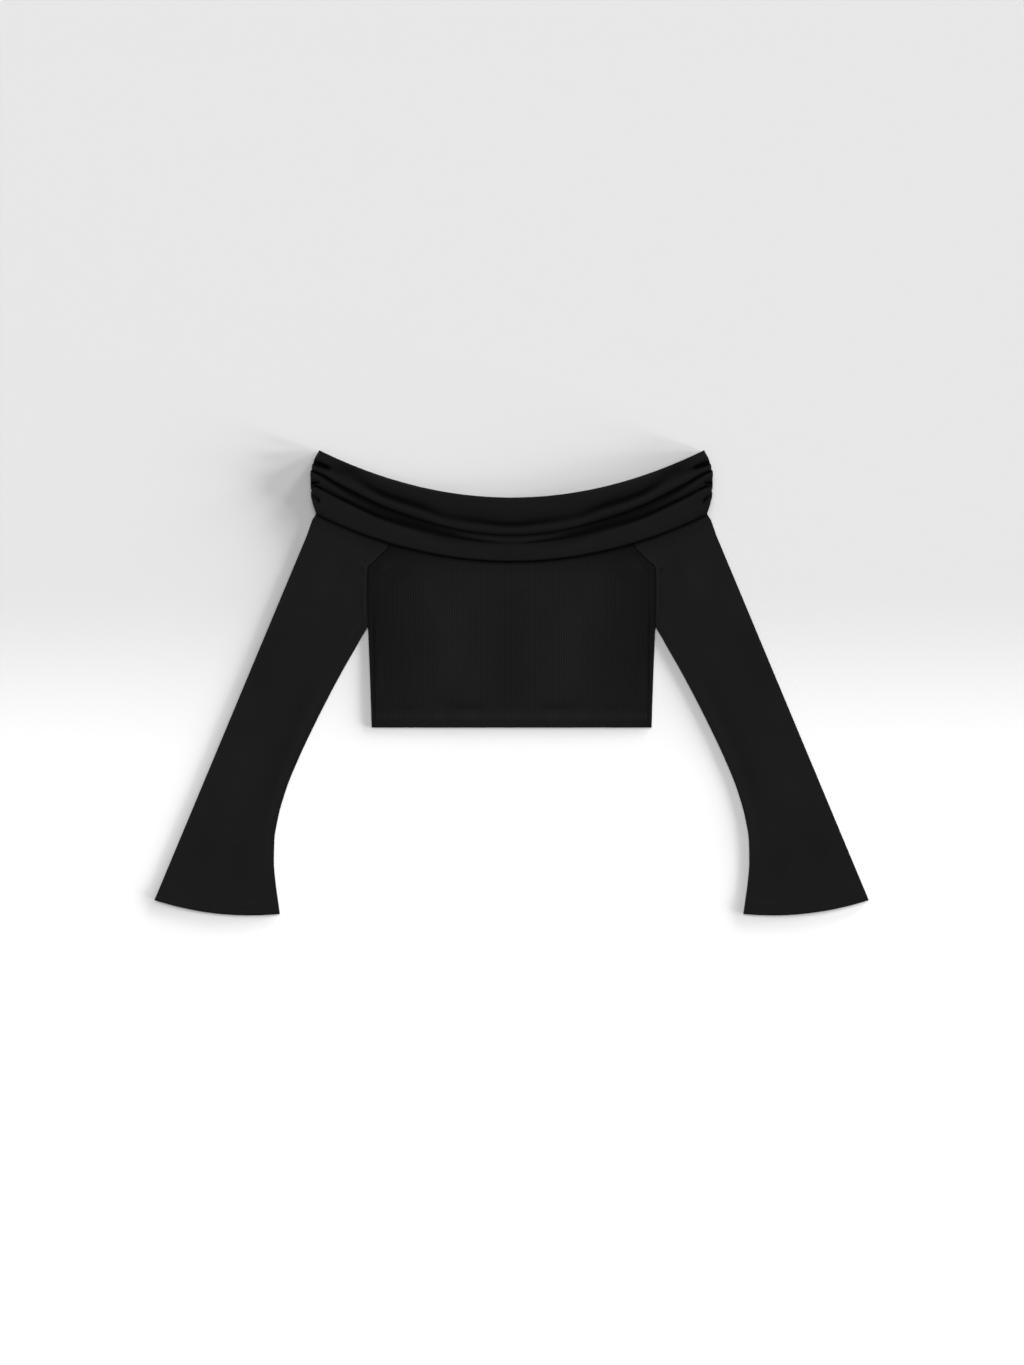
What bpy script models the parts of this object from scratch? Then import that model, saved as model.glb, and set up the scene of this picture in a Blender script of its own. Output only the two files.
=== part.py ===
"""Off-shoulder long-sleeved top in black rib jersey, lying flat on its back.

+X runs to the right across the chest, +Y to the neckline and +Z up from the surface that the top
lies on. The origin is on that surface, at the middle of the garment's outline. Six pieces, as they
are cut and sewn: a back and a front panel, two sleeves, and a fold-over collar of double cloth in a
front and a back half. Each piece is a sheet worked out from its rows and made a wall: with Solidify,
or for the deeply folded front collar by extruding the sheet straight up.
From the surface up lie the back collar, the back layer of panel and sleeves, the front layer, and
the front collar with its level folds.
"""

import math
from collections import namedtuple

import bmesh
import bpy

MM = 0.001

# Cloth, in metres: one layer of rib jersey, the collar's two layers, and the play at a seam.
CLOTH = 1.0 * MM
COLLAR_CLOTH = 2.0 * MM
SEAM_PLAY = 0.3 * MM
TUBE_PLAY = 0.8 * MM
HEM_EXTRA = 0.6 * MM

# Neckline and the collar's lower edge: two parabolas, each from its height on the centre line.
NECK_CENTRE_Y = 239.6 * MM
NECK_RISE = 58.5 * MM
COLLAR_CENTRE_Y = 156.8 * MM
COLLAR_RISE = 56.4 * MM
RISE_AT_X = 243.9 * MM

# The sleeve's outer fold: a straight line from the collar's corner to the cuff.
SLEEVE_TOP_X = 255.6 * MM
SLEEVE_TOP_Y = 216.2 * MM
CUFF_OUTER_X = 464.2 * MM
CUFF_OUTER_Y = -283.0 * MM

# The layers climb onto the back collar between these distances below the collar's lower edge.
CLIMB_START = 22.0 * MM
CLIMB_END = 4.0 * MM

# How far the front stands off the back where it is fullest, and how fast that falls to the sides.
BODY_FULLNESS = 2.4 * MM
BODY_FULLNESS_POWER = 5
SLEEVE_FULLNESS = 1.5 * MM
SLEEVE_FULLNESS_POWER = 3

# The collar's turned edges: how far in from the outline they start, and how far they drop. Its folds
# come down to the shoulder seam over a longer way than its edge does.
FREE_TURN = 1.8 * MM
NECK_TURN = 4.5 * MM
NECK_TURN_DROP = 2.0 * MM
SHOULDER_TURN = 4.0 * MM
SHOULDER_TURN_DROP = 3.1 * MM
SHOULDER_FOLD_TURN = 9.0 * MM
BACK_COLLAR_INSET = 1.0 * MM

# Cells of each sheet.
BODY_COLUMNS = 28
SLEEVE_WALL_CELLS = 8
SLEEVE_FOLD_CELLS = 4
COLLAR_COLUMNS = 52
BACK_COLLAR_COLUMNS = 32
BACK_COLLAR_ROWS = 4

BLACK_JERSEY = (0.0125, 0.0125, 0.0130, 1.0)
JERSEY_ROUGHNESS = 0.88

# The armhole seam from the neck seam down to the underarm, in millimetres. A row's height is given
# from the neckline, from the collar's middle or lower edge, or from the origin.
# outer_x or outer_y is where the same row of the sleeve ends at the sleeve's outer fold.
ArmholeRow = namedtuple("ArmholeRow", "side_x height_from height bow fullness outer_x outer_y")
ARMHOLE_ROWS = (
    ArmholeRow(146.0, "neck", -4.5, 1.0, 0.00, 244.0, None),
    ArmholeRow(152.5, "middle", 0.0, 1.0, 0.00, 255.0, None),
    ArmholeRow(158.4, "collar", 3.0, 1.0, 0.00, 254.0, None),
    ArmholeRow(159.2, "collar", -3.0, 1.0, 0.00, 255.8, None),
    ArmholeRow(161.3, "collar", -8.0, 1.0, 0.03, 258.4, None),
    ArmholeRow(166.0, "collar", -13.8, 1.0, 0.10, 260.4, None),
    ArmholeRow(178.0, "origin", 157.5, 0.9, 0.25, None, 190.0),
    ArmholeRow(187.0, "origin", 148.0, 0.75, 0.45, None, 175.0),
    ArmholeRow(187.2, "origin", 125.0, 0.5, 0.75, None, 158.0),
    ArmholeRow(187.0, "origin", 100.0, 0.25, 0.95, None, 141.0),
    ArmholeRow(186.3, "origin", 77.0, 0.1, 1.00, None, 124.0),
)

# The body from the underarm down to the hem, in millimetres.
SideRow = namedtuple("SideRow", "side_x side_y fullness hem")
SIDE_ROWS = (
    SideRow(185.4, 50.0, 1.00, 0.0),
    SideRow(184.2, 20.0, 1.00, 0.0),
    SideRow(183.1, -10.0, 0.90, 0.0),
    SideRow(182.3, -35.5, 0.62, 0.0),
    SideRow(182.2, -38.8, 0.58, 1.0),
    SideRow(181.5, -58.8, 0.50, 1.0),
)

# The sleeve from the underarm down to the cuff, in millimetres: the point on its inner fold, the
# height on its outer fold, how far the row sags between them, and how full and how thick it is.
SleeveRow = namedtuple("SleeveRow", "inner_x inner_y outer_y sag fullness hem")
SLEEVE_ROWS = (
    SleeveRow(197.1, 55.0, 104.0, 0.0, 1.0, 0.0),
    SleeveRow(219.2, 16.0, 64.0, 0.0, 1.0, 0.0),
    SleeveRow(240.0, -23.0, 24.0, 0.0, 1.0, 0.0),
    SleeveRow(259.5, -62.0, -16.0, 0.0, 1.0, 0.0),
    SleeveRow(277.7, -101.0, -57.0, 0.0, 1.0, 0.0),
    SleeveRow(293.3, -140.0, -98.0, 0.0, 1.0, 0.0),
    SleeveRow(303.5, -176.0, -138.0, 1.0, 1.0, 0.0),
    SleeveRow(308.3, -206.0, -174.0, 2.5, 1.0, 0.0),
    SleeveRow(308.9, -233.0, -205.0, 4.5, 0.95, 0.0),
    SleeveRow(307.0, -258.0, -236.0, 6.5, 0.90, 0.0),
    SleeveRow(303.9, -281.0, -263.5, 8.2, 0.80, 0.0),
    SleeveRow(303.5, -284.3, -267.0, 8.5, 0.80, 1.0),
    SleeveRow(301.1, -301.0, -283.0, 8.5, 0.70, 1.0),
)

# The collar's folds, line by line from its lower edge to the neckline, at seven distances from the
# centre line. share is the way across the band at each of them, and height in millimetres how far
# the cloth stands off the layer below. The lines lean towards the shoulder, where they are the
# gathers of its seam: rolls 5 to 6 mm high with sharp creases between them.
FOLD_STATIONS = (0.0, 40.0 * MM, 80.0 * MM, 120.0 * MM, 165.0 * MM, 212.0 * MM, 250.0 * MM)
FoldLine = namedtuple("FoldLine", "name shares heights")
COLLAR_FOLDS = (
    FoldLine("free edge", (0, 0, 0, 0, 0, 0, 0), (2.4, 2.4, 2.6, 2.6, 2.6, 2.2, 1.4)),
    FoldLine("edge roll", (.035, .035, .035, .035, .035, .040, .050), (4.6, 4.7, 5.2, 5.6, 5.6, 5.0, 3.6)),
    FoldLine("lobe", (.100, .100, .100, .105, .110, .120, .130), (4.8, 4.9, 5.4, 6.0, 6.2, 6.0, 5.4)),
    FoldLine("lobe top", (.170, .170, .180, .190, .200, .220, .240), (4.9, 4.7, 4.5, 5.4, 6.2, 6.2, 5.0)),
    FoldLine("lobe back", (.215, .220, .235, .255, .270, .315, .345), (4.2, 4.0, 3.5, 4.4, 5.7, 6.0, 5.6)),
    FoldLine("crease 2 lip", (.245, .262, .280, .303, .315, .362, .390), (3.9, 3.3, 2.6, 3.0, 3.6, 4.0, 4.6)),
    FoldLine("crease 2", (.272, .298, .320, .345, .355, .402, .428), (3.4, 1.6, 0.8, 0.8, 0.3, 0.0, 1.6)),
    FoldLine("recess low", (.295, .325, .345, .378, .390, .440, .470), (4.0, 3.2, 1.1, 0.8, 1.1, 1.9, 3.6)),
    FoldLine("recess", (.325, .352, .370, .410, .435, .490, .550), (4.6, 4.2, 1.6, 1.2, 1.7, 3.6, 6.0)),
    FoldLine("recess high", (.365, .382, .405, .450, .492, .560, .605), (3.6, 2.9, 2.0, 1.1, 1.1, 0.5, 2.8)),
    FoldLine("crease 1", (.400, .412, .440, .480, .525, .595, .635), (1.5, 1.4, 1.2, 0.3, 0.0, 0.0, 0.3)),
    FoldLine("crease 1 lip", (.420, .435, .465, .510, .555, .632, .665), (2.6, 2.6, 2.8, 2.4, 3.0, 3.4, 3.8)),
    FoldLine("ridge side", (.446, .462, .483, .550, .583, .654, .682), (4.0, 4.0, 4.2, 4.2, 5.0, 5.2, 5.8)),
    FoldLine("ridge top", (.480, .500, .510, .590, .615, .680, .702), (5.0, 4.8, 4.7, 5.0, 6.0, 5.6, 6.4)),
    FoldLine("ridge back", (.525, .548, .555, .635, .660, .730, .745), (3.4, 3.4, 3.8, 3.4, 3.8, 4.2, 4.0)),
    FoldLine("trough", (.572, .598, .610, .690, .724, .800, .790), (0.9, 1.3, 2.0, 1.0, 1.0, 2.9, 0.8)),
    FoldLine("rise", (.630, .655, .670, .735, .785, .850, .840), (2.9, 2.6, 2.8, 1.9, 2.7, 2.3, 4.8)),
    FoldLine("upper roll", (.720, .740, .760, .810, .850, .890, .890), (3.7, 3.7, 3.7, 3.6, 3.9, 2.3, 5.6)),
    FoldLine("neck roll", (.860, .870, .870, .880, .900, .930, .930), (4.2, 4.3, 4.1, 4.4, 4.9, 2.7, 4.8)),
    FoldLine("neck side", (.950, .950, .950, .955, .955, .958, .965), (4.2, 4.2, 4.0, 4.6, 5.0, 3.0, 3.4)),
    FoldLine("neck edge", (1, 1, 1, 1, 1, 1, 1), (2.4, 2.4, 2.4, 2.4, 2.4, 2.2, 1.4)),
)

# The collar's outline at the shoulder: the way across the band, and half the width there. It swells
# at each roll and draws in at each crease.
ShoulderPoint = namedtuple("ShoulderPoint", "share half_width")
SHOULDER_EDGE = (
    ShoulderPoint(0.000, 253.4 * MM),
    ShoulderPoint(0.080, 256.1 * MM),
    ShoulderPoint(0.175, 259.0 * MM),
    ShoulderPoint(0.280, 260.9 * MM),
    ShoulderPoint(0.332, 260.2 * MM),
    ShoulderPoint(0.390, 261.2 * MM),
    ShoulderPoint(0.556, 261.7 * MM),
    ShoulderPoint(0.616, 261.3 * MM),
    ShoulderPoint(0.715, 259.4 * MM),
    ShoulderPoint(0.826, 256.8 * MM),
    ShoulderPoint(0.934, 253.4 * MM),
    ShoulderPoint(1.000, 251.2 * MM),
)

COLLAR_LIFT = COLLAR_CLOTH + SEAM_PLAY
FRONT_LAYER_TOP = COLLAR_LIFT + 2 * CLOTH + TUBE_PLAY
FRONT_COLLAR_BASE = FRONT_LAYER_TOP + SEAM_PLAY
FOLD_RADIUS = CLOTH + TUBE_PLAY / 2


def mix(start, end, share):
    """The value that lies share of the way from start to end."""
    return start + (end - start) * share


def smooth(share):
    """A soft step: 0 up to 0, 1 from 1 on, level at both ends."""
    share = min(max(share, 0.0), 1.0)
    return share * share * (3.0 - 2.0 * share)


def curve_through(stations, values, at):
    """A smooth curve through values at stations that never swings past a value."""
    if at <= stations[0]:
        return values[0]
    if at >= stations[-1]:
        return values[-1]
    slopes = [(b - a) / (q - p) for p, q, a, b in zip(stations, stations[1:], values, values[1:])]
    bends = [slopes[0]]
    for before, after in zip(slopes, slopes[1:]):
        same_way = before * after > 0
        bends.append(2 * before * after / (before + after) if same_way else 0.0)
    bends.append(slopes[-1])
    bends[0] = 0.0
    index = max(i for i, station in enumerate(stations[:-1]) if station <= at)
    span = stations[index + 1] - stations[index]
    t = (at - stations[index]) / span
    rest = 1.0 - t
    return (values[index] * (1 + 2 * t) * rest * rest
            + bends[index] * span * t * rest * rest
            + values[index + 1] * t * t * (3 - 2 * t)
            - bends[index + 1] * span * t * t * rest)


def neck_y(x):
    """Height of the neckline at x."""
    return NECK_CENTRE_Y + NECK_RISE * (x / RISE_AT_X) ** 2


def collar_y(x):
    """Height of the collar's lower edge at x."""
    return COLLAR_CENTRE_Y + COLLAR_RISE * (x / RISE_AT_X) ** 2


def climb(x, y):
    """How far the layers stand off the surface at x, y, over the back collar."""
    start = collar_y(x) - CLIMB_START
    return COLLAR_LIFT * smooth((y - start) / (CLIMB_START - CLIMB_END))


def sleeve_outer_x(y):
    """The sleeve's outer fold, a straight line from the collar to the cuff."""
    share = (SLEEVE_TOP_Y - y) / (SLEEVE_TOP_Y - CUFF_OUTER_Y)
    return mix(SLEEVE_TOP_X, CUFF_OUTER_X, share)


def row_y(row, x):
    """Height at x of an armhole row that follows the collar's edge."""
    height = row.height * MM
    if row.height_from == "neck":
        return neck_y(x) + height
    if row.height_from == "middle":
        return (neck_y(x) + collar_y(x)) / 2 + height
    return collar_y(x) + height


def material(name):
    """Matt black rib jersey."""
    jersey = bpy.data.materials.new(name)
    jersey.use_nodes = True
    shader = jersey.node_tree.nodes["Principled BSDF"]
    shader.inputs["Base Color"].default_value = BLACK_JERSEY
    shader.inputs["Roughness"].default_value = JERSEY_ROUGHNESS
    shader.inputs["Metallic"].default_value = 0.0
    return jersey


def sheet(name, columns, rows, place, dropped=()):
    """A grid of columns by rows cells with each corner where place puts it.

    Corners that meet are joined, and the cells that dropped names are left open.
    """
    grid = bmesh.new()
    bmesh.ops.create_grid(grid, x_segments=columns, y_segments=rows, size=0.5)
    corners = {}
    for vert in grid.verts:
        corner = (round((vert.co.x + 0.5) * columns), round((vert.co.y + 0.5) * rows))
        corners[vert] = corner
    open_faces = []
    for face in grid.faces:
        cell = (min(corners[v][0] for v in face.verts), min(corners[v][1] for v in face.verts))
        if cell in dropped:
            open_faces.append(face)
    for vert, corner in corners.items():
        vert.co = place(*corner)
    bmesh.ops.delete(grid, geom=open_faces, context="FACES")
    bmesh.ops.remove_doubles(grid, verts=grid.verts, dist=0.01 * MM)
    mesh = bpy.data.meshes.new(name)
    grid.to_mesh(mesh)
    grid.free()
    mesh.shade_smooth()
    mesh.set_sharp_from_angle(angle=math.radians(50))
    piece = bpy.data.objects.new(name, mesh)
    mesh.materials.append(material(name + "_jersey"))
    bpy.data.collections["off_shoulder_top"].objects.link(piece)
    return piece


def thicken(piece, thickness, side, is_thick=None, extra=0.0):
    """Make the sheet a wall on one side of it, thicker where is_thick says so."""
    wall = piece.modifiers.new("Wall", "SOLIDIFY")
    wall.offset = side
    wall.use_even_offset = True
    wall.thickness = thickness + extra
    if is_thick is None:
        return
    group = piece.vertex_groups.new(name="hem")
    for vert in piece.data.vertices:
        share = (thickness + extra * is_thick(vert.co)) / (thickness + extra)
        group.add([vert.index], share, "REPLACE")
    wall.vertex_group = group.name


def wall_upwards(piece, thickness):
    """Close the sheet with a copy of itself straight above it, so deep folds never cross."""
    wall = bmesh.new()
    wall.from_mesh(piece.data)
    made = bmesh.ops.extrude_face_region(wall, geom=wall.faces[:])
    upper = [item for item in made["geom"] if isinstance(item, bmesh.types.BMVert)]
    bmesh.ops.translate(wall, verts=upper, vec=(0.0, 0.0, thickness))
    bmesh.ops.recalc_face_normals(wall, faces=wall.faces[:])
    wall.to_mesh(piece.data)
    wall.free()


def side_column(column, columns):
    """From -1 to 1 across a piece, with narrower cells towards its two sides."""
    share = 2 * column / columns - 1
    return math.copysign(1 - (1 - abs(share)) ** 1.4, share)


def body_row_point(row, across):
    """The point of a body row, across from -1 at one side to 1 at the other."""
    if isinstance(row, SideRow):
        x = across * row.side_x * MM
        return x, row.side_y * MM
    side_x = row.side_x * MM - SEAM_PLAY / 2
    x = across * side_x
    if row.height_from != "origin":
        return x, row_y(row, x)
    return x, row.height * MM - row.bow * (collar_y(side_x) - collar_y(x))


BODY_ROWS = tuple(reversed(ARMHOLE_ROWS + SIDE_ROWS))


def back_panel():
    """Back panel: lies flat, and climbs over the back collar to the neck seam."""
    def place(column, row):
        x, y = body_row_point(BODY_ROWS[row], side_column(column, BODY_COLUMNS))
        return x, y, climb(x, y)

    piece = sheet("back_panel", BODY_COLUMNS, len(BODY_ROWS) - 1, place)
    thicken(piece, CLOTH, side=1)


def front_panel():
    """Front panel: the back panel's points moved up, full at the middle and down at the sides."""
    def place(column, row):
        across = side_column(column, BODY_COLUMNS)
        x, y = body_row_point(BODY_ROWS[row], across)
        fullness = BODY_FULLNESS * BODY_ROWS[row].fullness * (1 - abs(across) ** BODY_FULLNESS_POWER)
        side_play = SEAM_PLAY if isinstance(BODY_ROWS[row], SideRow) else TUBE_PLAY
        return x, y, climb(x, y) + CLOTH + side_play + fullness

    piece = sheet("front_panel", BODY_COLUMNS, len(BODY_ROWS) - 1, place)
    hem_top = SIDE_ROWS[4].side_y * MM
    thicken(piece, CLOTH, 1, lambda point: point.y < hem_top + SEAM_PLAY, HEM_EXTRA)


def sleeve_ends(row):
    """The points where a sleeve row meets the armhole or inner fold, and the outer fold."""
    if isinstance(row, SleeveRow):
        outer_y = row.outer_y * MM
        return (row.inner_x * MM, row.inner_y * MM), (sleeve_outer_x(outer_y), outer_y)
    inner_x = row.side_x * MM + SEAM_PLAY / 2
    if row.height_from == "origin":
        outer_y = row.outer_y * MM
        return (inner_x, row.height * MM), (sleeve_outer_x(outer_y), outer_y)
    outer_x = row.outer_x * MM
    return (inner_x, row_y(row, inner_x)), (outer_x, row_y(row, outer_x))


def sleeve_row_point(row, share):
    """The point share of the way from a sleeve row's inner end to its outer end."""
    (inner_x, inner_y), (outer_x, outer_y) = sleeve_ends(row)
    x = mix(inner_x, outer_x, share)
    y = mix(inner_y, outer_y, share)
    if isinstance(row, SleeveRow):
        return x, y - row.sag * MM * 4 * share * (1 - share)
    bulge = collar_y(x) - mix(collar_y(inner_x), collar_y(outer_x), share)
    return x, y + row.bow ** 2 * bulge


def sleeve(name, side):
    """A sleeve: a flat tube with round folds, open at the cuff and along the armhole.

    Round each row run the front wall, the outer fold, the back wall and the inner fold.
    """
    rows = tuple(reversed(ARMHOLE_ROWS + SLEEVE_ROWS))
    wall_cells = SLEEVE_WALL_CELLS
    fold_cells = SLEEVE_FOLD_CELLS
    ring = 2 * (wall_cells + fold_cells)
    underarm = len(SLEEVE_ROWS)

    def place(column, row_index):
        row = rows[row_index]
        (inner_x, inner_y), (outer_x, outer_y) = sleeve_ends(row)
        fold_share = FOLD_RADIUS / math.hypot(outer_x - inner_x, outer_y - inner_y)
        inner_share = 0.0 if row_index > underarm else fold_share
        hem = HEM_EXTRA * getattr(row, "hem", 0.0)
        column = column % ring
        if column <= wall_cells:
            along = (1 - math.cos(math.pi * column / wall_cells)) / 2
            share = mix(inner_share, 1 - fold_share, along)
            fullness = SLEEVE_FULLNESS * row.fullness
            rise = fullness * (1 - abs(2 * along - 1) ** SLEEVE_FULLNESS_POWER)
            height = 2 * FOLD_RADIUS + rise + hem
        elif column < wall_cells + fold_cells:
            turn = math.pi * (column - wall_cells) / fold_cells
            share = 1 - fold_share + fold_share * math.sin(turn)
            height = FOLD_RADIUS * (1 + math.cos(turn)) + hem * (1 + math.cos(turn)) / 2
        elif column <= 2 * wall_cells + fold_cells:
            along = (1 - math.cos(math.pi * (column - wall_cells - fold_cells) / wall_cells)) / 2
            share = mix(1 - fold_share, inner_share, along)
            height = 0.0
        else:
            turn = math.pi * (column - 2 * wall_cells - fold_cells) / fold_cells
            share = inner_share - inner_share * math.sin(turn)
            height = FOLD_RADIUS * (1 - math.cos(turn)) + hem * (1 - math.cos(turn)) / 2
        x, y = sleeve_row_point(row, share)
        return side * x, y, climb(x, y) + height

    armhole = {(column, row) for column in range(2 * wall_cells + fold_cells, ring)
               for row in range(underarm, len(rows) - 1)}
    piece = sheet(name, ring, len(rows) - 1, place, armhole)
    if side < 0:
        piece.data.flip_normals()
    thicken(piece, CLOTH, side=-1)


def half_width_at(share, inset=0.0):
    """Half the collar's width at a share of the way across the band."""
    stations = [point.share for point in SHOULDER_EDGE]
    widths = [point.half_width for point in SHOULDER_EDGE]
    return curve_through(stations, widths, share) - inset


def band_y(x, share, inset=0.0):
    """Height at x of a line share of the way from the collar's lower edge to the neckline."""
    return mix(collar_y(x) + inset, neck_y(x) - inset, share)


def turned(distance, reach):
    """A quarter round: 0 from reach inwards, falling steeply to 1 at the edge."""
    share = min(max(1 - distance / reach, 0.0), 1.0)
    return 1 - math.sqrt(1 - share * share)


def front_collar():
    """Front half of the collar: level folds, turned down at the neckline and the shoulders."""
    def place(column, row):
        fold = COLLAR_FOLDS[row]
        half_width = half_width_at(fold.shares[-1])
        x = side_column(column, COLLAR_COLUMNS) * half_width
        share = curve_through(FOLD_STATIONS, fold.shares, abs(x))
        y = band_y(x, share)
        from_end = half_width - abs(x)
        to_neck = band_y(x, 1.0) - y
        height = curve_through(FOLD_STATIONS, fold.heights, abs(x)) * MM
        height *= 1 - turned(y - band_y(x, 0.0), FREE_TURN)
        height *= 1 - turned(to_neck, NECK_TURN)
        height *= 1 - turned(from_end, SHOULDER_FOLD_TURN)
        sewn = smooth((share - 0.06) / 0.14)
        drop = NECK_TURN_DROP * turned(to_neck, NECK_TURN)
        drop += SHOULDER_TURN_DROP * sewn * turned(from_end, SHOULDER_TURN)
        return x, y, FRONT_COLLAR_BASE + height - min(drop, SHOULDER_TURN_DROP)

    piece = sheet("collar_front", COLLAR_COLUMNS, len(COLLAR_FOLDS) - 1, place)
    wall_upwards(piece, COLLAR_CLOTH)


def back_collar():
    """Back half of the collar, pressed flat under the panels."""
    def place(column, row):
        share = row / BACK_COLLAR_ROWS
        half_width = half_width_at(share, BACK_COLLAR_INSET)
        x = side_column(column, BACK_COLLAR_COLUMNS) * half_width
        return x, band_y(x, share, BACK_COLLAR_INSET), 0.0

    piece = sheet("collar_back", BACK_COLLAR_COLUMNS, BACK_COLLAR_ROWS, place)
    thicken(piece, COLLAR_CLOTH, side=1)


def main():
    """Clear the scene and make the six pieces."""
    for leftover in list(bpy.data.objects):
        bpy.data.objects.remove(leftover)
    collection = bpy.data.collections.new("off_shoulder_top")
    bpy.context.scene.collection.children.link(collection)
    back_collar()
    back_panel()
    front_panel()
    sleeve("sleeve_left", 1)
    sleeve("sleeve_right", -1)
    front_collar()


main()
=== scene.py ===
# %% [markdown]
# # An off-shoulder top in black rib jersey, laid flat
#
# The real top is six pieces of thin knitted cloth: a back, a front, two long sleeves that widen to
# the cuff, and a fold-over collar in two halves, which drapes in level folds between the shoulders.
# It lies on its back on a pale table, so nearly everything that shows is a soft relief of a few
# millimetres, and the looks come from three things: an exact outline, folds of the right depth, and
# a black that still shows where the cloth turns.
#
# Each piece is a surface worked out with numpy from the garment's own sizes, then made a wall of
# cloth, mostly with a Solidify modifier. A cloth simulation would move the outline about, so here
# the creases are given one by one.

# %% Load the frame that the pieces must fit
import math

import bpy
import numpy as np
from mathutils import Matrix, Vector


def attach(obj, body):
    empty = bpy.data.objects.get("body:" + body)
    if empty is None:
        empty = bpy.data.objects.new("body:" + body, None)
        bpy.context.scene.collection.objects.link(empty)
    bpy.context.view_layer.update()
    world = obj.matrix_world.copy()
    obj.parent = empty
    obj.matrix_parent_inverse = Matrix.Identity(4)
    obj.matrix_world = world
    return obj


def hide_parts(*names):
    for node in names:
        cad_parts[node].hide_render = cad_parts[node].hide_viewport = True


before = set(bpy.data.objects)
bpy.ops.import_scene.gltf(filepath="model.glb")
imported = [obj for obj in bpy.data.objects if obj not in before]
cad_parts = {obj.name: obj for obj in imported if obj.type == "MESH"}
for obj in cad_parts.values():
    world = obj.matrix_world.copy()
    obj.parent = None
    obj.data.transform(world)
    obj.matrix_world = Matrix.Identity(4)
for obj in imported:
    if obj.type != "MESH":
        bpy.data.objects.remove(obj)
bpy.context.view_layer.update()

MM = 0.001

# %% [markdown]
# ## Camera
# The photograph looks straight down, with the garment's middle close to the middle of the frame. One
# pixel of its 1365-pixel height is 1.3 mm on the table. A long lens far away keeps the outline as
# flat as a pattern, which a short lens close by would bulge.

# %% The camera, straight above the middle
PIXEL = 1.3 * MM
FRAME_HEIGHT = 1365 * PIXEL
CAMERA_HEIGHT = 5.0
SENSOR = 36.0
MIDDLE = Vector((0.0005, -0.0003, 0.0))

camera_data = bpy.data.cameras.new("camera")
camera_data.sensor_fit = "AUTO"
camera_data.sensor_width = SENSOR
camera_data.lens = SENSOR * CAMERA_HEIGHT / FRAME_HEIGHT
camera = bpy.data.objects.new("camera", camera_data)
camera.location = MIDDLE + Vector((0.0, 0.0, CAMERA_HEIGHT))
bpy.context.scene.collection.objects.link(camera)
bpy.context.scene.camera = camera
print("lens, mm:", round(camera_data.lens, 1))

# %% [markdown]
# ## Shader maths as Python
# A material is a graph of small nodes, and long graphs are hard to read. This class wraps one socket
# and overloads the operators, so that a pattern can be written as one formula: each operator adds
# the Math node that does it.


# %% A socket that can be calculated with
class Value:
    """One output socket, or a plain number, that takes part in Python expressions."""

    def __init__(self, tree, socket):
        self.tree = tree
        self.socket = socket

    def node(self, kind, settings=(), values=(), output=0):
        """Add a node: its settings first, then the values or links of its sockets, by name."""
        made = self.tree.nodes.new(kind)
        for name, setting in dict(settings).items():
            setattr(made, name, setting)
        for name, value in dict(values).items():
            target = made.inputs[name]
            if isinstance(value, Value):
                self.tree.links.new(value.socket, target)
            else:
                target.default_value = value
        return Value(self.tree, made.outputs[output])

    def math(self, operation, *values):
        """A Math node with the operation and up to three values."""
        made = self.node("ShaderNodeMath", {"operation": operation}, dict(enumerate(values)))
        return made

    def __add__(self, other):
        return self.math("ADD", self, other)

    def __radd__(self, other):
        return self.math("ADD", other, self)

    def __sub__(self, other):
        return self.math("SUBTRACT", self, other)

    def __rsub__(self, other):
        return self.math("SUBTRACT", other, self)

    def __mul__(self, other):
        return self.math("MULTIPLY", self, other)

    def __rmul__(self, other):
        return self.math("MULTIPLY", other, self)

    def __truediv__(self, other):
        return self.math("DIVIDE", self, other)

    def __pow__(self, other):
        return self.math("POWER", self, other)

    def __abs__(self):
        return self.math("ABSOLUTE", self)

    def sin(self):
        return self.math("SINE", self)

    def fract(self):
        return self.math("FRACT", self)

    def clamp(self, low, high):
        return self.math("MINIMUM", self.math("MAXIMUM", self, low), high)


# %% [markdown]
# ## The cloth
# Fine rib jersey in black. Up close it is rows of small V-shaped stitches standing in narrow ribs,
# and from a step away it is a soft matt black with a broad, weak sheen, dark wherever it turns off.
# The stitches are about a millimetre across, too small for geometry, so they are a bump that follows
# the piece's own UV map, laid out in metres along and across the knitting. Most of the light that
# black cloth sends back is this weak sheen and not its colour, so the base colour is very dark and
# the roughness middling: that is what makes a fold of few millimetres show. On top of that each
# piece carries a painted shade by point, which darkens the base colour where the cloth lies low.

# %% The jersey material
RIB = 3.1 * MM
WALE = RIB / 2
COURSE = 1.1 * MM


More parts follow.
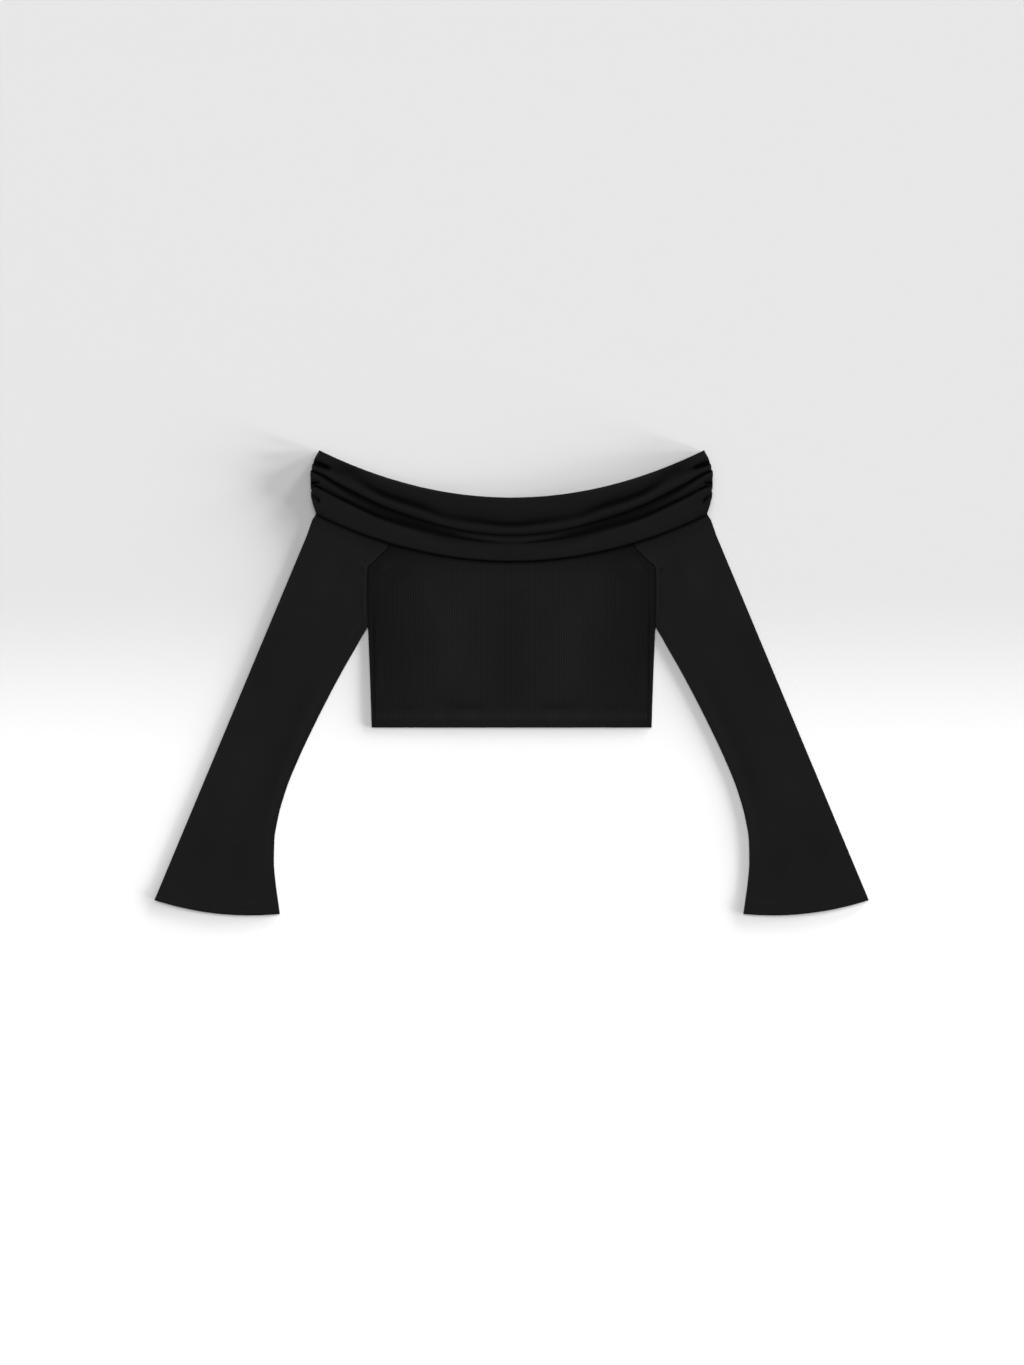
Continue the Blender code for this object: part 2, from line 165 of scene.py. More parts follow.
def jersey(name, tone, rib_depth, mottle):
    """Black jersey: a base colour with a soft mottle, painted shade in the rib grooves and the piece's
    painted shade, and stitches as a bump.

    A rib is one arch of a sine across the UV map. The stitches on it are two columns of smaller
    arches, times a wave along the column that the arch's own place tilts into a V.
    """
    made = bpy.data.materials.new(name)
    made.use_nodes = True
    tree = made.node_tree
    shader = tree.nodes["Principled BSDF"]
    start = Value(tree, None)
    cloth = start.node("ShaderNodeUVMap", {"uv_map": "cloth"})
    split = start.node("ShaderNodeSeparateXYZ", (), {"Vector": cloth})
    across = Value(tree, split.socket.node.outputs["X"])
    along = Value(tree, split.socket.node.outputs["Y"])
    rib = abs((across / RIB * math.pi).sin())
    wale = (across / WALE).fract()
    arch = (wale * math.pi).sin()
    leg = abs(wale - 0.5) * 2.0
    stitch = ((along / COURSE + leg * 0.55) * (2 * math.pi)).sin() * 0.5 + 0.5
    height = arch ** 0.6 * (stitch * 0.35 + 0.65)
    spot = start.node("ShaderNodeTexCoord", output=3)
    wear = start.node("ShaderNodeTexNoise", {"noise_dimensions": "3D"},
                      {"Vector": spot, "Scale": 20.0, "Detail": 4.0, "Roughness": 0.55})
    lint = start.node("ShaderNodeTexNoise", {"noise_dimensions": "3D"},
                      {"Vector": spot, "Scale": 700.0, "Detail": 3.0, "Roughness": 0.7})
    raised = height + lint * 0.4 + rib * rib_depth
    bump = start.node("ShaderNodeBump", (),
                      {"Strength": 0.45, "Distance": 0.25 * MM, "Height": raised})
    # painted shade: the piece's shade by point, multiplied into the base colour
    painted_shade = start.node("ShaderNodeAttribute", {"attribute_name": "shade"}, output=2)
    # painted shade: the rib grooves are darker in the base colour; the wear and lint terms are random
    # mottle
    mottle_and_groove_shade = (wear - 0.5) * (2 * mottle) + (lint - 0.5) * 0.5 + (rib - 0.64) * rib_depth + 1.0
    colour = start.node("ShaderNodeMix", {"data_type": "RGBA", "blend_type": "MULTIPLY"},
                        {0: 1.0, 6: (tone, tone, tone * 1.03, 1.0), 7: mottle_and_groove_shade * painted_shade}, output=2)
    tree.links.new(colour.socket, shader.inputs["Base Color"])
    tree.links.new(bump.socket, shader.inputs["Normal"])
    tree.links.new(((wear - 0.5) * 0.08 + 0.72).socket, shader.inputs["Roughness"])
    shader.inputs["Specular IOR Level"].default_value = 0.05
    shader.inputs["Sheen Weight"].default_value = 0.012
    shader.inputs["Sheen Roughness"].default_value = 0.5
    return made


body_jersey = jersey("body_rib_jersey", 0.0146, 0.60, 0.10)
sleeve_jersey = jersey("sleeve_jersey", 0.0150, 0.08, 0.12)
# painted shade: the collar's base colour is set darker than the body's
collar_jersey = jersey("collar_jersey", 0.0128, 0.16, 0.14)

# %% [markdown]
# ## Curves and outlines
# The garment is symmetric, so sizes are given for one half. The neckline and the collar's lower edge
# are two parabolas, and the sleeve's outer fold is a straight line. Where a column of numbers changes
# from row to row, a monotone cubic runs through it: smooth, but it never swings past a value, which
# an ordinary spline would.


# %% Outline formulas
NECK_CENTRE_Y = 239.6 * MM
NECK_RISE = 58.5 * MM
COLLAR_CENTRE_Y = 156.8 * MM
COLLAR_RISE = 56.4 * MM
RISE_AT_X = 243.9 * MM
SLEEVE_TOP = (255.6 * MM, 216.2 * MM)
CUFF_CORNER = (464.2 * MM, -283.0 * MM)


def neck_y(x):
    """The neckline: its height at the centre plus a rise with the square of x."""
    return NECK_CENTRE_Y + NECK_RISE * (x / RISE_AT_X) ** 2


def collar_y(x):
    """The collar's lower edge, a parabola like the neckline's."""
    return COLLAR_CENTRE_Y + COLLAR_RISE * (x / RISE_AT_X) ** 2


def sleeve_outer_x(y):
    """The sleeve's outer fold: x on the straight line from the collar's corner to the cuff."""
    share = (SLEEVE_TOP[1] - y) / (SLEEVE_TOP[1] - CUFF_CORNER[1])
    return SLEEVE_TOP[0] + (CUFF_CORNER[0] - SLEEVE_TOP[0]) * share


def smooth(share):
    """A soft step: three times the square less twice the cube, held level outside 0 to 1."""
    share = np.clip(share, 0.0, 1.0)
    return share * share * (3.0 - 2.0 * share)


def turned(distance, reach):
    """A quarter round: 0 further in than reach, rising to 1 at the edge."""
    share = np.clip(1 - distance / reach, 0.0, 1.0)
    return 1 - np.sqrt(1 - share ** 2)


def curve_through(stations, values, at):
    """Monotone cubic through values at stations.

    Each station's slope is the harmonic mean of the slopes beside it, or 0 at a turning point.
    Between two stations runs the cubic with those two values and slopes.
    """
    stations = np.asarray(stations, float)
    values = np.asarray(values, float)
    at = np.clip(np.asarray(at, float), stations[0], stations[-1])
    slopes = np.diff(values) / np.diff(stations)
    product = slopes[:-1] * slopes[1:]
    total = np.where(product > 0, slopes[:-1] + slopes[1:], 1.0)
    bends = np.concatenate(([slopes[0]], np.where(product > 0, 2 * product / total, 0.0), [slopes[-1]]))
    index = np.clip(np.searchsorted(stations, at, side="right") - 1, 0, len(stations) - 2)
    span = stations[index + 1] - stations[index]
    t = (at - stations[index]) / span
    rest = 1.0 - t
    return (values[index] * (1 + 2 * t) * rest ** 2 + bends[index] * span * t * rest ** 2
            + values[index + 1] * t * t * (3 - 2 * t) - bends[index + 1] * span * t * t * rest)


# %% Thicknesses, and the climb over the back collar
CLOTH = 1.0 * MM
COLLAR_CLOTH = 2.0 * MM
SEAM_PLAY = 0.3 * MM
TUBE_PLAY = 0.8 * MM
COLLAR_LIFT = COLLAR_CLOTH + SEAM_PLAY
FRONT_COLLAR_BASE = COLLAR_LIFT + 2 * CLOTH + TUBE_PLAY + SEAM_PLAY
FOLD_RADIUS = CLOTH + TUBE_PLAY / 2


def climb(x, y):
    """Height of the layers' underside: 0 on the table, a soft step up just before the collar."""
    return COLLAR_LIFT * smooth((y - collar_y(x) + 22.0 * MM) / (18.0 * MM))


# %% [markdown]
# ## Creases by hand
# A crease or a ridge is a soft wave laid along a short route: a bell curve across it, and a rise and
# a fall along it. Routes are given in millimetres on the right half, where they can be read off a
# tape laid on the cloth, and the left half is their mirror image, as the garment's two sides are.


# %% A soft wave along a route
def soft_wave(x, y, route, width, height, fade):
    """Relief of one crease: height times a bell of the distance to the route.

    The distance is to the nearest point of the route's straight stretches. fade is the share of the
    route over which the crease fades in and out, or one share for each end.
    """
    fade_in, fade_out = fade if isinstance(fade, tuple) else (fade, fade)
    route = np.asarray(route, float) * MM
    steps = np.diff(route, axis=0)
    lengths = np.hypot(steps[:, 0], steps[:, 1])
    begins = np.concatenate(([0.0], np.cumsum(lengths)))
    nearest = np.full(np.shape(x), 1e9)
    place = np.zeros(np.shape(x))
    for start, step, length, begin in zip(route, steps, lengths, begins):
        along = ((x - start[0]) * step[0] + (y - start[1]) * step[1]) / length ** 2
        along = np.clip(along, 0.0, 1.0)
        gap = np.hypot(x - start[0] - along * step[0], y - start[1] - along * step[1])
        closer = gap < nearest
        place = np.where(closer, (begin + along * length) / begins[-1], place)
        nearest = np.minimum(nearest, gap)
    ends = smooth(place / max(fade_in, 1e-6) + (fade_in == 0)) * smooth((1 - place) / max(fade_out, 1e-6))
    return height * MM * ends * np.exp(-((nearest / (width * MM)) ** 2))


# %% [markdown]
# ## From a grid of points to a mesh
# Every piece is a grid of rows and columns. The points, the faces and the UV map are handed to the
# mesh as whole arrays with foreach_set, which is quick even at a hundred thousand points. The UV map
# is in metres of cloth, so a knitted stitch is the same size on every piece.


# %% Grid to mesh
def grid_faces(rows, columns, closed):
    """Corners of every cell of a grid, as point numbers and as UV numbers: [row, column, corner]."""
    cells = columns if closed else columns - 1
    row, column = np.meshgrid(np.arange(rows - 1), np.arange(cells), indexing="ij")
    after = (column + 1) % columns
    corners = np.stack([row * columns + column, row * columns + after,
                        (row + 1) * columns + after, (row + 1) * columns + column], axis=-1)
    wide = cells + 1
    uv_corners = np.stack([row * wide + column, row * wide + column + 1,
                           (row + 1) * wide + column + 1, (row + 1) * wide + column], axis=-1)
    return corners, uv_corners


def cloth_mesh(name, points, corners, uv, uv_corners, shade, material):
    """An object from flat arrays: points, four-cornered faces, UVs by corner and a painted shade by point.
    """
    used, corners = np.unique(corners, return_inverse=True)
    corners = corners.reshape(-1, 4)
    mesh = bpy.data.meshes.new(name)
    mesh.vertices.add(len(used))
    mesh.vertices.foreach_set("co", points[used].ravel())
    mesh.loops.add(corners.size)
    mesh.loops.foreach_set("vertex_index", corners.ravel())
    mesh.polygons.add(len(corners))
    mesh.polygons.foreach_set("loop_start", np.arange(0, corners.size, 4))
    mesh.update(calc_edges=True)
    layer = mesh.uv_layers.new(name="cloth")
    layer.data.foreach_set("uv", uv[uv_corners.ravel()].ravel())
    # painted shade: a number by point that the material multiplies into the base colour
    tone = mesh.attributes.new("shade", "FLOAT", "POINT")
    tone.data.foreach_set("value", shade[used])
    mesh.shade_smooth()
    mesh.materials.append(material)
    piece = bpy.data.objects.new(name, mesh)
    bpy.context.scene.collection.objects.link(piece)
    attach(piece, "root")
    print(name, len(mesh.polygons), "cells")
    return piece


def cloth_piece(name, points, uv, wall, side, material, closed=False, cut=None, shade=None):
    """A cloth from points[row, column], with a wall of cloth laid on one side of it.

    closed joins the last column to the first. cut, where given, is True for cells left out.
    """
    rows, columns = points.shape[:2]
    corners, uv_corners = grid_faces(rows, columns, closed)
    keep = np.ones(corners.shape[:2], bool) if cut is None else ~cut
    shade = np.ones((rows, columns)) if shade is None else shade
    piece = cloth_mesh(name, points.reshape(-1, 3), corners[keep], uv.reshape(-1, 2), uv_corners[keep],
                       shade.ravel(), material)
    thickness = piece.modifiers.new("wall", "SOLIDIFY")
    thickness.thickness = wall
    thickness.offset = side
    thickness.use_even_offset = True
    return piece


def two_sided(name, top, bottom, uv, shade, material):
    """A cloth given by both of its sides, each a grid, and closed along its four borders."""
    rows, columns = top.shape[:2]
    count = rows * columns
    face, uv_face = grid_faces(rows, columns, False)
    face = face.reshape(-1, 4)
    number = np.arange(count).reshape(rows, columns)
    border = np.concatenate([number[0, :], number[1:, -1], number[-1, -2::-1], number[-2:0:-1, 0]])
    after = np.roll(border, -1)
    rim = np.stack([border, border + count, after + count, after], axis=-1)
    corners = np.concatenate([face, face[:, ::-1] + count, rim])
    uv_corners = np.concatenate([face, face[:, ::-1] + count, rim])
    points = np.concatenate([top.reshape(-1, 3), bottom.reshape(-1, 3)])
    flat_uv = np.concatenate([uv.reshape(-1, 2), uv.reshape(-1, 2)])
    # painted shade on the face that shows, none on the inner side
    tone = np.concatenate([shade.ravel(), np.ones(count)])
    return cloth_mesh(name, points, corners, flat_uv, uv_corners, tone, material)


def between(stations, counts):
    """Places for a grid's rows: counts[i] even steps from station i to station i + 1."""
    steps = [np.linspace(a, b, count, endpoint=False)
             for a, b, count in zip(stations, stations[1:], counts)]
    return np.concatenate(steps + [[stations[-1]]])


# %% [markdown]
# ## Front and back
# Two panels of the same cut. Their sides run straight up from the hem to the underarm, then follow
# the armhole, which turns in sharply under the collar. A table gives the side, row by row: where it
# is, how far the row bows down at the middle of the body, how full the front stands off the back,
# and the play between the layers at the seam.

# %% The side of the body, row by row
SIDE_COLUMNS = ("x", "y", "bow", "full", "play", "rows")
SIDE = np.array([
    (181.5, -58.8, 0.00, 0.30, 0.3, 12),
    (182.2, -36.0, 0.00, 0.55, 0.3, 7),
    (183.1, -10.0, 0.00, 0.90, 0.3, 5),
    (184.2, 20.0, 0.00, 1.00, 0.3, 5),
    (185.4, 50.0, 0.00, 1.00, 0.3, 5),
    (186.3, 77.0, 0.10, 1.00, 0.8, 4),
    (187.0, 100.0, 0.25, 0.95, 0.8, 4),
    (187.2, 125.0, 0.50, 0.75, 0.8, 4),
    (187.0, 147.0, 0.75, 0.45, 0.8, 4),
    (178.0, 157.5, 0.90, 0.25, 0.8, 4),
    (166.0, collar_y(0.166) / MM - 13.8, 1.00, 0.10, 0.8, 4),
    (161.3, collar_y(0.1613) / MM - 8, 1.00, 0.03, 0.8, 4),
    (159.2, collar_y(0.1592) / MM - 3, 1.00, 0.00, 0.8, 3),
    (158.4, collar_y(0.1584) / MM + 3, 1.00, 0.00, 0.8, 4),
    (152.5, (collar_y(0.1525) + neck_y(0.1525)) / 2 / MM, 1.00, 0.00, 0.8, 4),
    (146.0, neck_y(0.146) / MM - 4.5, 1.00, 0.00, 0.8, 0),
])
RIB_HEIGHT = 0.14 * MM
TUCK = 0.7 * MM
MIDDLE_RIBS = 38
OUTER_RIBS = 21
BODY_FULLNESS = 2.4 * MM


def body_side(places):
    """The table's columns at any places between its rows, in metres where they are lengths."""
    stations = np.arange(len(SIDE))
    found = {name: curve_through(stations, SIDE[:, i], places)
             for i, name in enumerate(SIDE_COLUMNS[:5])}
    for name in ("x", "y", "play"):
        found[name] = found[name] * MM
    return found


def body_grid(places, cells_per_rib):
    """Points over the body: straight ribs in the middle, and ribs that narrow with the side.

    Returns x, y, the share of the half width, the place within a rib, and the side's columns.
    """
    side = {name: column[:, None] for name, column in body_side(places).items()}
    middle = MIDDLE_RIBS * RIB
    count = (MIDDLE_RIBS + OUTER_RIBS) * cells_per_rib
    ribs = np.arange(-count, count + 1) / cells_per_rib
    outwards = np.clip((np.abs(ribs) - MIDDLE_RIBS) / OUTER_RIBS, 0.0, 1.0)[None, :]
    inner = np.minimum(np.abs(ribs) * RIB, middle)[None, :]
    edge = side["x"] + 0.3 * MM + TUCK * smooth((side["y"] - 0.066) / 0.006)
    x = np.sign(ribs)[None, :] * (inner + outwards * (edge - middle))
    y = side["y"] - side["bow"] * (collar_y(side["x"]) - collar_y(x))
    return x, y, np.abs(x) / edge, ribs[None, :], side


# %% [markdown]
# ### Front panel
# The ribs are real here: each has four cells, a valley and three on its rounded back. On top of them
# go the folds that the photograph shows: broad light and dark patches down the middle, the side
# seam's ridge just inside each edge, and a narrow double-stitched hem that makes the cloth above it
# swell a little. They are waves of half a millimetre to a millimetre, unevenly spaced. Their height is
# also painted into the cloth's colour as shade: lighter on the rises, darker in the grooves, towards
# the sides and at the armhole seam.

# %% Folds of the front panel
FRONT_FOLDS = (
    # route in mm on the right half, width, height, fade
    (((84, 122), (76, 60), (78, 10), (84, -30)), 22.0, 0.55, 0.3),
    (((112, 140), (104, 110), (96, 84)), 12.0, 0.35, 0.35),
    (((0, 130), (0, 60), (0, -40)), 20.0, -0.38, 0.15),
    (((44, 30), (48, -10), (52, -34)), 9.0, 0.25, 0.35),
    (((30, -31), (60, -32), (92, -31)), 3.2, -0.7, 0.3),
    (((112, -32), (136, -33), (156, -31)), 3.0, -0.4, 0.3),
    (((-8, -32), (10, -33), (22, -32)), 3.0, -0.3, 0.4),
    (((40, -44), (52, -45), (66, -44)), 7.0, 0.5, 0.4),
    (((80, -44), (91, -45), (106, -44)), 7.0, 0.6, 0.4),
    (((140, -44), (152, -45), (164, -43)), 6.0, 0.3, 0.4),
    (((120, 152), (146, 134), (168, 124)), 7.0, -0.4, 0.4),
    (((172, 142), (162, 150), (152, 160)), 4.0, 0.5, 0.4),
    (((158.6, 186), (158.9, 174.5)), 1.4, -2.2, (0.0, 0.4)),
    (((170, 152), (176, 146), (178, 138)), 3.0, -0.5, 0.4),
    (((178.4, 114), (178.4, 60), (178.2, 20), (177.9, -57)), 1.3, -0.95, (0.2, 0.05)),
    (((183, 52), (181.4, 20), (180.4, -56)), 1.4, 0.55, (0.2, 0.05)),
    (((172, 40), (170, 4), (173, -30)), 4.0, 0.35, 0.3),
)
HEM_BAND_TOP = -38.0 * MM
# painted shade: its strength per millimetre of relief, and towards the sides
FOLD_PAINTED_SHADE = 0.30 / MM
SIDE_PAINTED_SHADE = 0.42
STITCH_LINES = (-51.2 * MM, -55.0 * MM)


def front_relief(x, y):
    """Listed folds of the front, mirrored about the centre line."""
    total = np.zeros(np.broadcast(x, y).shape)
    for route, width, height, fade in FRONT_FOLDS:
        total = total + soft_wave(np.abs(x), y, route, width, height, fade)
    return total


def hem_relief(x, y):
    """The hem: a swell above its stitches that comes and goes, and a groove at each stitch line."""
    swell = np.exp(-(((y - HEM_BAND_TOP + 7.5 * MM) / (5.0 * MM)) ** 2))
    waver = 0.75 + 0.25 * np.sin(np.abs(x) / (13.0 * MM) + 0.6) * np.cos(np.abs(x) / (29.0 * MM))
    grooves = sum(np.exp(-(((y - line) / (0.8 * MM)) ** 2)) for line in STITCH_LINES)
    return 0.75 * MM * swell * waver - 0.28 * MM * grooves


def painted_collar_shadow(x, y):
    """Painted shadow just below the collar's edge: a dark line where the edge touches, and a soft fall-off.
    """
    below = np.maximum(collar_y(x) - y, 0.0)
    return 1 - 0.55 * np.exp(-((below / (2.4 * MM)) ** 2)) - 0.14 * np.exp(-((below / (10 * MM)) ** 2))


def front_painted_shade(across, y, seam_gap, relief):
    """Painted shade by how low the cloth lies: darker towards the sides, in grooves and at the armhole
    seam, lighter on the rises.
    """
    # painted shade: darker towards the sides, less so near the hem
    side = SIDE_PAINTED_SHADE * across ** 3 * (0.62 + 0.38 * smooth((y + 0.03) / 0.07))
    # painted shade: a dark line along the armhole seam
    seam = 0.6 * np.exp(-((seam_gap / (1.6 * MM)) ** 2)) * smooth((y - 0.066) / 0.01)
    return np.clip(1.02 - side - seam + FOLD_PAINTED_SHADE * relief, 0.15, 1.35)


def make_front_panel():
    """The front: low along its sides, full in the middle, with ribs, folds and hem on top.

    Fullness falls off with the fourth power of the way out, and everything flattens under the collar.
    """
    places = between(range(len(SIDE)), SIDE[:-1, 5].astype(int))
    x, y, across, ribs, side = body_grid(places, 4)
    under_collar = smooth((y - collar_y(x)) / (6.0 * MM))
    arch = np.abs(np.sin(math.pi * ribs)) ** 0.8
    rib = RIB_HEIGHT * (arch - 0.6) * (1 - under_collar) * smooth((1.0 - across) / 0.03)
    full = BODY_FULLNESS * side["full"] * (1 - across ** 4)
    seam_gap = side["x"] + TUCK * (side["y"] > 0.07) - np.abs(x)
    relief = (front_relief(x, y) + hem_relief(x, y)) * smooth(seam_gap / (2.5 * MM))
    low = climb(x, y) + CLOTH + side["play"]
    z = low + np.maximum(full + relief + rib, 0.0) * (1 - under_collar)
    z = z - 0.4 * MM * turned(seam_gap, 2.5 * MM) * (side["y"] > 0.07)
    points = np.stack([x, np.broadcast_to(y, x.shape), z], axis=-1)
    uv = np.stack([np.broadcast_to(ribs * RIB, x.shape), np.broadcast_to(y, x.shape)], axis=-1)
    # painted shade from the relief and the sides, times the painted shadow under the collar's edge
    shade = front_painted_shade(across, y, seam_gap, relief) * painted_collar_shadow(x, y)
    return cloth_piece("front_panel_cloth", points, uv, CLOTH, 1, body_jersey, shade=shade)


front_panel = make_front_panel()
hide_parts("front_panel")

# %% [markdown]
# ### Back panel
# The same cut, lying flat on the table. Only its edges ever show, so it needs fewer cells, and its
# ribs are left to the bump.


# %% The back panel
def make_back_panel():
    """The back: the same grid as the front's, at the height of the layers' underside."""
    places = between(range(len(SIDE)), np.maximum(SIDE[:-1, 5].astype(int) // 2, 1))
    x, y, across, ribs, side = body_grid(places, 1)
    z = climb(x, y)
    points = np.stack([x, np.broadcast_to(y, x.shape), z], axis=-1)
    uv = np.stack([np.broadcast_to(ribs * RIB, x.shape), np.broadcast_to(y, x.shape)], axis=-1)
    return cloth_piece("back_panel_cloth", points, uv, CLOTH, 1, body_jersey)


back_panel = make_back_panel()
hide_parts("back_panel")

# %% [markdown]
# ## Sleeves
# A sleeve is a tube pressed flat: a front wall, a back wall, and a round fold down each side. Its
# inner fold ends at the underarm, and above that the two walls part and follow the armhole. A row of
# the table gives the inner fold or the armhole, the outer fold's height, the sag of the row between
# them and how full the tube is. Round the tube the points are a ring: front wall, outer fold, back
# wall, inner fold.

# %% The sleeve, row by row from the cuff up
SLEEVE_COLUMNS = ("inner_x", "inner_y", "outer_x", "outer_y", "sag", "bow", "full", "rows")
CUFF_ROWS = (
    # inner_x, inner_y, outer_y, sag, full, rows
    (301.1, -301.0, -283.0, 8.5, 0.70, 8),
    (303.5, -284.3, -267.0, 8.5, 0.85, 9),
    (307.0, -258.0, -236.0, 6.5, 0.90, 8),
    (308.9, -233.0, -205.0, 4.5, 0.95, 8),
    (308.3, -206.0, -174.0, 2.5, 1.0, 9),
    (303.5, -176.0, -138.0, 1.0, 1.0, 10),
    (293.3, -140.0, -98.0, 0.0, 1.0, 11),
    (277.7, -101.0, -57.0, 0.0, 1.0, 11),
    (259.5, -62.0, -16.0, 0.0, 1.0, 11),
    (240.0, -23.0, 24.0, 0.0, 1.0, 11),
    (219.2, 16.0, 64.0, 0.0, 1.0, 11),
    (197.1, 55.0, 104.0, 0.0, 1.0, 7),
)
ARMHOLE_OUTER = (
    # outer_x or None on the straight fold, outer_y or None on the collar's curve, rows
    (None, 124.0, 7),
    (None, 141.0, 7),
    (None, 158.0, 7),
    (None, 175.0, 5),
    (None, 190.0, 5),
    (260.4, -13.8, 4),
    (258.4, -8.0, 4),
    (255.8, -3.0, 3),
    (254.0, 3.0, 4),
    (255.0, None, 4),
    (244.0, None, 0),
)
SLEEVE_FULLNESS = 1.5 * MM
WALL_CELLS = 40
FOLD_CELLS = 8


def sleeve_table():
    """Both parts of the sleeve as one table: cuff to underarm, then up the armhole."""
    lower = [(inner_x, inner_y, sleeve_outer_x(outer_y * MM) / MM, outer_y, sag, 0.0, full, rows)
             for inner_x, inner_y, outer_y, sag, full, rows in CUFF_ROWS]
    upper = []
    for (x, y, bow, full, play, _), (outer_x, outer_y, rows) in zip(SIDE[5:], ARMHOLE_OUTER):
        if outer_x is None:
            outer_x = sleeve_outer_x(outer_y * MM) / MM
        elif outer_y is None:
            middle = (collar_y(outer_x * MM) + neck_y(outer_x * MM)) / 2 / MM
            outer_y = neck_y(outer_x * MM) / MM - 4.5 if rows == 0 else middle
        else:
            outer_y = collar_y(outer_x * MM) / MM + outer_y
        upper.append((x + 0.15, y, outer_x, outer_y, 0.0, bow ** 2, full, rows))
    return np.array(lower + upper), len(lower)


SLEEVE, UNDERARM = sleeve_table()


# %% [markdown]
# The folds near the armhole are the sleeve's only sharp ones: a rolled ridge along the seam, where
# the sleeve's edge stands over the body, the groove beside it, and a small forked fold where the
# seam turns. Lower down a soft ridge runs inside each fold, and a few long waves cross the wall.
# Their height is also painted into the colour as shade, lighter on the ridges and darker in the
# grooves.

# %% Folds of the sleeve
SLEEVE_FOLDS = (
    # route in mm on the right half, width, height, fade
    (((158, 178), (166, 170), (176, 161), (184, 153), (189, 146)), 2.4, 0.7, (0.3, 0.1)),
    (((189, 150), (188.6, 139), (189, 133), (190.2, 127), (190.4, 112), (190.2, 84)), 1.9, 1.1, (0.1, 0.1)),
    (((193.6, 131), (193.8, 112), (194, 88)), 1.7, -0.8, 0.2),
    (((197.5, 160), (194, 154), (190.2, 147)), 1.6, 1.0, (0.3, 0.0)),
    (((184.5, 160.5), (187, 155), (189.2, 149)), 1.5, 0.8, (0.3, 0.0)),
    (((190, 157), (189.8, 152)), 2.0, -0.5, 0.3),
    (((197, 150), (194, 144), (192, 138)), 2.1, -1.2, 0.3),
    (((192, 84), (204, 66), (214, 46)), 3.0, 0.5, 0.3),
    (((225, 22), (262, -46), (288, -104), (306, -160), (315, -215), (312, -262)), 7.0, 0.7, 0.2),
    (((248, 20), (282, -60), (306, -120), (322, -180)), 12.0, -0.5, 0.3),
    (((270, 190), (300, 118), (330, 46), (372, -52), (420, -166), (446, -232)), 9.0, 0.4, 0.2),
    (((300, 96), (318, 30), (346, -30)), 20.0, -0.45, 0.35),
    (((340, -60), (352, -120), (372, -180)), 22.0, 0.4, 0.35),
    (((400, -170), (398, -215), (406, -258)), 16.0, -0.35, 0.35),
    (((352, -200), (350, -232), (346, -270)), 14.0, -0.35, 0.35),
    (((225, 160), (240, 128), (252, 96)), 12.0, 0.45, 0.35),
    (((212, 178), (216, 150), (222, 124)), 10.0, -0.4, 0.35),
    (((432, -262), (440, -266), (452, -268)), 3.0, 0.55, 0.35),
    (((318, -282), (334, -287), (352, -289)), 4.0, 0.35, 0.35),
)
# painted shade and highlight per millimetre of the sleeve's relief
SLEEVE_PAINTED_SHADE = 0.22 / MM
CUFF_HEM = 17.5 * MM
CUFF_STITCH = 14.0 * MM


def sleeve_row_point(ends, share):
    """A point share of the way from the row's inner to its outer end, sagging or bowed between."""
    x = ends["inner_x"] + (ends["outer_x"] - ends["inner_x"]) * share
    y = ends["inner_y"] + (ends["outer_y"] - ends["inner_y"]) * share
    straight = collar_y(ends["inner_x"]) * (1 - share) + collar_y(ends["outer_x"]) * share
    bulge = collar_y(x) - straight
    return x, y - ends["sag"] * 4 * share * (1 - share) + ends["bow"] * bulge


